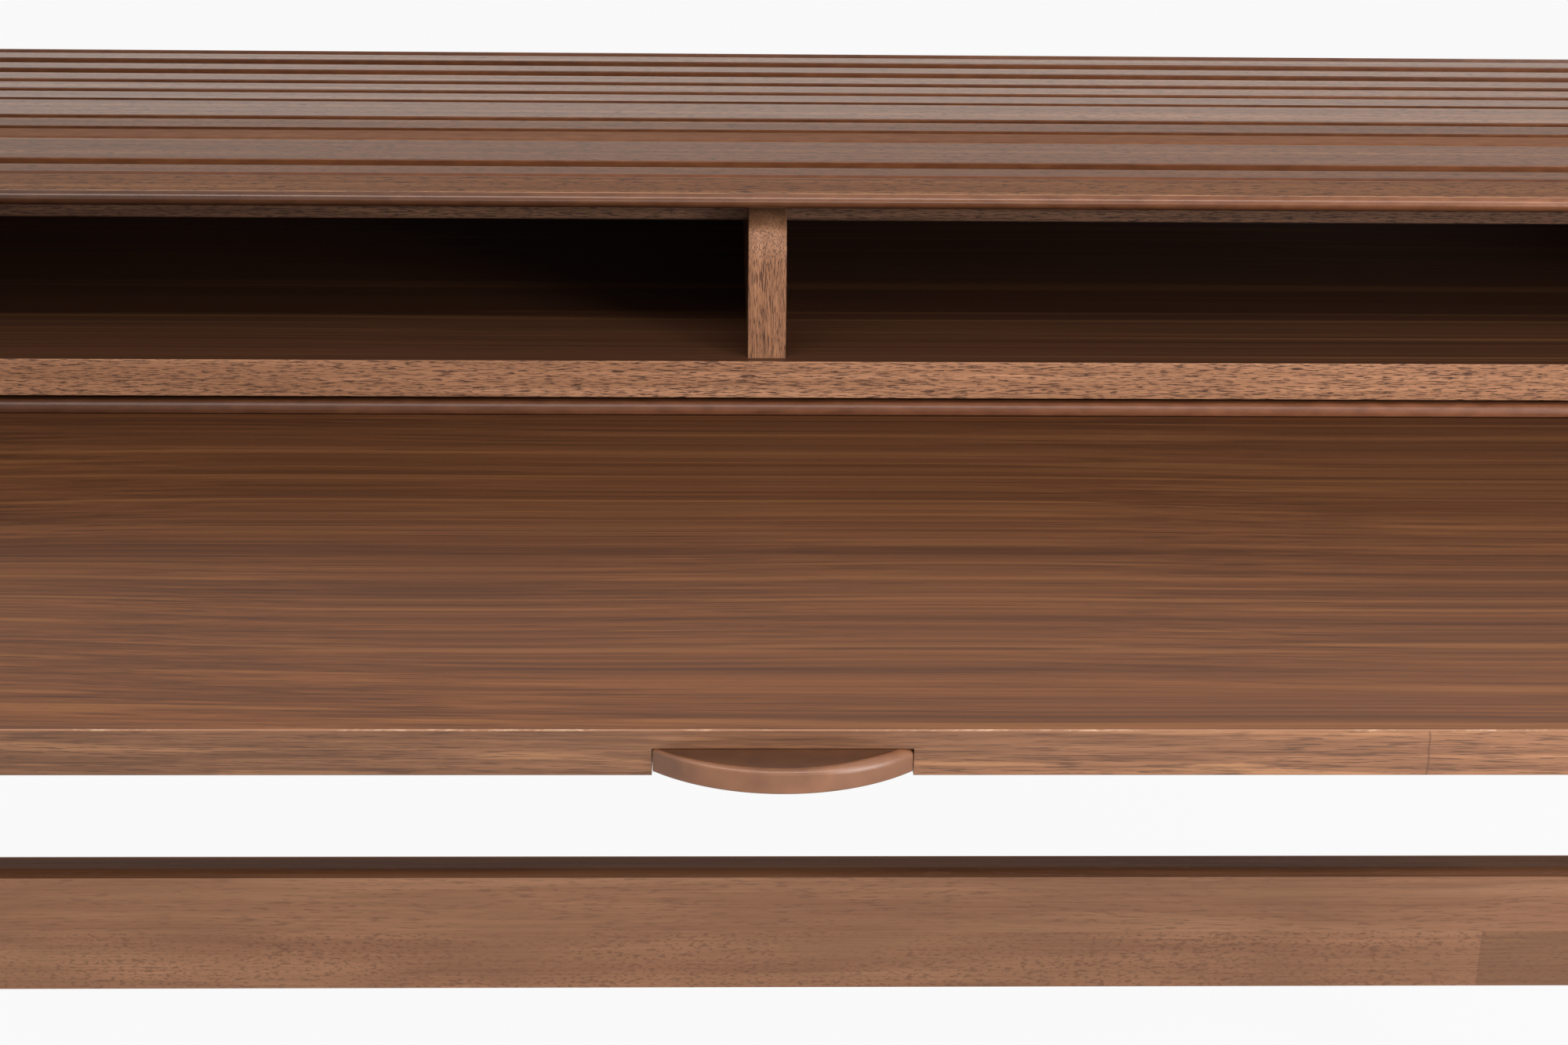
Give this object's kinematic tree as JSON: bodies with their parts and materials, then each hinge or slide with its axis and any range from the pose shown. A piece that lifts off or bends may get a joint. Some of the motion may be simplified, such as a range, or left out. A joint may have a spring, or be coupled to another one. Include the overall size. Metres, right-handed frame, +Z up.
{
  "type": "desk",
  "caption": "Walnut writing desk with a slatted roll top over a shallow divided box, opened by a pull-out worktop with a half-moon pull; square tapered legs and a rear stretcher",
  "frame": {"origin": "on the floor under the middle of the footprint, with the worktop pulled out", "axes": "+X to the sitter's right, +Y to the back of the desk, +Z up"},
  "size_m": [1.23, 0.7466, 0.85],
  "materials": {
    "panel_veneer": "walnut veneer, satin lacquer",
    "solid_walnut": "solid walnut, satin oil",
    "slat_veneer": "walnut veneer strips with smooth lacquered edges",
    "worktop_veneer": "dark walnut veneer, long straight grain, satin",
    "runner_wood": "plain hard wood, waxed",
    "steel": "zinc-plated screws",
    "glide": "dark nylon glide"
  },
  "bodies": {
    "frame": {"side_panel_left": "panel_veneer", "side_panel_right": "panel_veneer", "shelf": "panel_veneer", "top_board": "panel_veneer", "divider": "solid_walnut", "inner_back": "panel_veneer", "back_cover": "panel_veneer", "case_dowels": "runner_wood", "front_apron": "solid_walnut", "rear_apron": "solid_walnut", "rear_stretcher": "solid_walnut", "slide_rail_left": "runner_wood", "side_apron_left": "solid_walnut", "slide_rail_right": "runner_wood", "side_apron_right": "solid_walnut", "rail_screws": "steel", "leg_front_left": "solid_walnut", "leg_front_right": "solid_walnut", "leg_rear_left": "solid_walnut", "leg_rear_right": "solid_walnut", "foot_glides": "glide"},
    "worktop": {"worktop_panel": "worktop_veneer", "worktop_edge": "solid_walnut", "worktop_pull": "solid_walnut", "tail_bead": "solid_walnut", "batten_left": "runner_wood", "batten_right": "runner_wood", "tambour_slat_25": "slat_veneer", "tambour_slat_26": "slat_veneer", "tambour_slat_27": "slat_veneer", "tambour_slat_28": "slat_veneer", "tambour_slat_29": "slat_veneer", "tambour_slat_30": "slat_veneer", "tambour_slat_31": "slat_veneer"},
    "curtain_top": {"tambour_slat_06": "slat_veneer", "tambour_slat_07": "slat_veneer", "tambour_slat_08": "slat_veneer", "tambour_slat_09": "slat_veneer", "tambour_slat_10": "slat_veneer", "tambour_slat_11": "slat_veneer", "tambour_slat_12": "slat_veneer"},
    "curtain_00": {"tambour_lip": "slat_veneer"},
    "curtain_01": {"tambour_slat_01": "slat_veneer"},
    "curtain_02": {"tambour_slat_02": "slat_veneer"},
    "curtain_03": {"tambour_slat_03": "slat_veneer"},
    "curtain_04": {"tambour_slat_04": "slat_veneer"},
    "curtain_05": {"tambour_slat_05": "slat_veneer"},
    "curtain_13": {"tambour_slat_13": "slat_veneer"},
    "curtain_14": {"tambour_slat_14": "slat_veneer"},
    "curtain_15": {"tambour_slat_15": "slat_veneer"},
    "curtain_16": {"tambour_slat_16": "slat_veneer"},
    "curtain_17": {"tambour_slat_17": "slat_veneer"},
    "curtain_18": {"tambour_slat_18": "slat_veneer"},
    "curtain_19": {"tambour_slat_19": "slat_veneer"},
    "curtain_20": {"tambour_slat_20": "slat_veneer"},
    "curtain_21": {"tambour_slat_21": "slat_veneer"},
    "curtain_22": {"tambour_slat_22": "slat_veneer"},
    "curtain_23": {"tambour_slat_23": "slat_veneer"},
    "curtain_24": {"tambour_slat_24": "slat_veneer"}
  },
  "joints": [
    {"name": "worktop_slide", "type": "slide", "parent": "frame", "child": "worktop", "axis": [0, 1, 0], "range_m": [0, 0.1175]},
    {"name": "curtain_top_slide", "type": "slide", "parent": "frame", "child": "curtain_top", "axis": [0, -1, 0], "range_m": [0, 0.1175]},
    {"name": "curtain_00_turn", "type": "hinge", "parent": "frame", "child": "curtain_00", "pos_m": [0, 0.03362, 0.75838], "axis": [1, 0, 0], "range_deg": [0, 79.02]},
    {"name": "curtain_01_turn", "type": "hinge", "parent": "frame", "child": "curtain_01", "pos_m": [0, 0.02438, 0.76437], "axis": [1, 0, 0], "range_deg": [0, 90]},
    {"name": "curtain_02_turn", "type": "hinge", "parent": "frame", "child": "curtain_02", "pos_m": [0, 0.03277, 0.75022], "axis": [1, 0, 0], "range_deg": [0, 74.48]},
    {"name": "curtain_03_turn", "type": "hinge", "parent": "frame", "child": "curtain_03", "pos_m": [0, 0.04314, 0.71846], "axis": [1, 0, 0], "range_deg": [0, 54.91]},
    {"name": "curtain_04_turn", "type": "hinge", "parent": "frame", "child": "curtain_04", "pos_m": [0, 0.05364, 0.64982], "axis": [1, 0, 0], "range_deg": [0, 35.33]},
    {"name": "curtain_05_turn", "type": "hinge", "parent": "frame", "child": "curtain_05", "pos_m": [0, 0.06972, 0.05403], "axis": [1, 0, 0], "range_deg": [0, 8.59]},
    {"name": "curtain_13_turn", "type": "hinge", "parent": "frame", "child": "curtain_13", "pos_m": [0, 0.25156, 0.23311], "axis": [1, 0, 0], "range_deg": [0, 11.13]},
    {"name": "curtain_14_turn", "type": "hinge", "parent": "frame", "child": "curtain_14", "pos_m": [0, 0.26557, 0.66554], "axis": [1, 0, 0], "range_deg": [0, 38.39]},
    {"name": "curtain_15_turn", "type": "hinge", "parent": "frame", "child": "curtain_15", "pos_m": [0, 0.27814, 0.7394], "axis": [1, 0, 0], "range_deg": [0, 65.65]},
    {"name": "curtain_16_turn", "type": "hinge", "parent": "frame", "child": "curtain_16", "pos_m": [0, 0.29053, 0.76858], "axis": [1, 0, 0], "range_deg": [0, 92.91]},
    {"name": "curtain_17_turn", "type": "hinge", "parent": "frame", "child": "curtain_17", "pos_m": [0, 0.30287, 0.78201], "axis": [1, 0, 0], "range_deg": [0, 120.17]},
    {"name": "curtain_18_turn", "type": "hinge", "parent": "frame", "child": "curtain_18", "pos_m": [0, 0.30775, 0.7845], "axis": [1, 0, 0], "range_deg": [0, 130.72]},
    {"name": "curtain_19_turn", "type": "hinge", "parent": "frame", "child": "curtain_19", "pos_m": [0, 0.30765, 0.78452], "axis": [1, 0, 0], "range_deg": [0, 130.53]},
    {"name": "curtain_20_turn", "type": "hinge", "parent": "frame", "child": "curtain_20", "pos_m": [0, 0.29772, 0.79133], "axis": [1, 0, 0], "range_deg": [0, 108.78]},
    {"name": "curtain_21_turn", "type": "hinge", "parent": "frame", "child": "curtain_21", "pos_m": [0, 0.28536, 0.80992], "axis": [1, 0, 0], "range_deg": [0, 81.52]},
    {"name": "curtain_22_turn", "type": "hinge", "parent": "frame", "child": "curtain_22", "pos_m": [0, 0.27292, 0.85134], "axis": [1, 0, 0], "range_deg": [0, 54.26]},
    {"name": "curtain_23_turn", "type": "hinge", "parent": "frame", "child": "curtain_23", "pos_m": [0, 0.26014, 0.97845], "axis": [1, 0, 0], "range_deg": [0, 27]},
    {"name": "curtain_24_turn", "type": "hinge", "parent": "frame", "child": "curtain_24", "pos_m": [0, 0.24177, 4.43655], "axis": [1, 0, 0], "range_deg": [0, 1.82]}
  ],
  "couplings": [
    {"joint": "curtain_top_slide", "follows": "worktop_slide", "ratio": 1},
    {"joint": "curtain_00_turn", "follows": "worktop_slide", "rad_per_m": 11.738},
    {"joint": "curtain_01_turn", "follows": "worktop_slide", "rad_per_m": 13.368},
    {"joint": "curtain_02_turn", "follows": "worktop_slide", "rad_per_m": 11.064},
    {"joint": "curtain_03_turn", "follows": "worktop_slide", "rad_per_m": 8.1557},
    {"joint": "curtain_04_turn", "follows": "worktop_slide", "rad_per_m": 5.2479},
    {"joint": "curtain_05_turn", "follows": "worktop_slide", "rad_per_m": 1.2763},
    {"joint": "curtain_13_turn", "follows": "worktop_slide", "rad_per_m": 1.6533},
    {"joint": "curtain_14_turn", "follows": "worktop_slide", "rad_per_m": 5.7024},
    {"joint": "curtain_15_turn", "follows": "worktop_slide", "rad_per_m": 9.7515},
    {"joint": "curtain_16_turn", "follows": "worktop_slide", "rad_per_m": 13.801},
    {"joint": "curtain_17_turn", "follows": "worktop_slide", "rad_per_m": 17.85},
    {"joint": "curtain_18_turn", "follows": "worktop_slide", "rad_per_m": 19.417},
    {"joint": "curtain_19_turn", "follows": "worktop_slide", "rad_per_m": 19.388},
    {"joint": "curtain_20_turn", "follows": "worktop_slide", "rad_per_m": 16.157},
    {"joint": "curtain_21_turn", "follows": "worktop_slide", "rad_per_m": 12.108},
    {"joint": "curtain_22_turn", "follows": "worktop_slide", "rad_per_m": 8.0593},
    {"joint": "curtain_23_turn", "follows": "worktop_slide", "rad_per_m": 4.0102},
    {"joint": "curtain_24_turn", "follows": "worktop_slide", "rad_per_m": 0.26997}
  ]
}
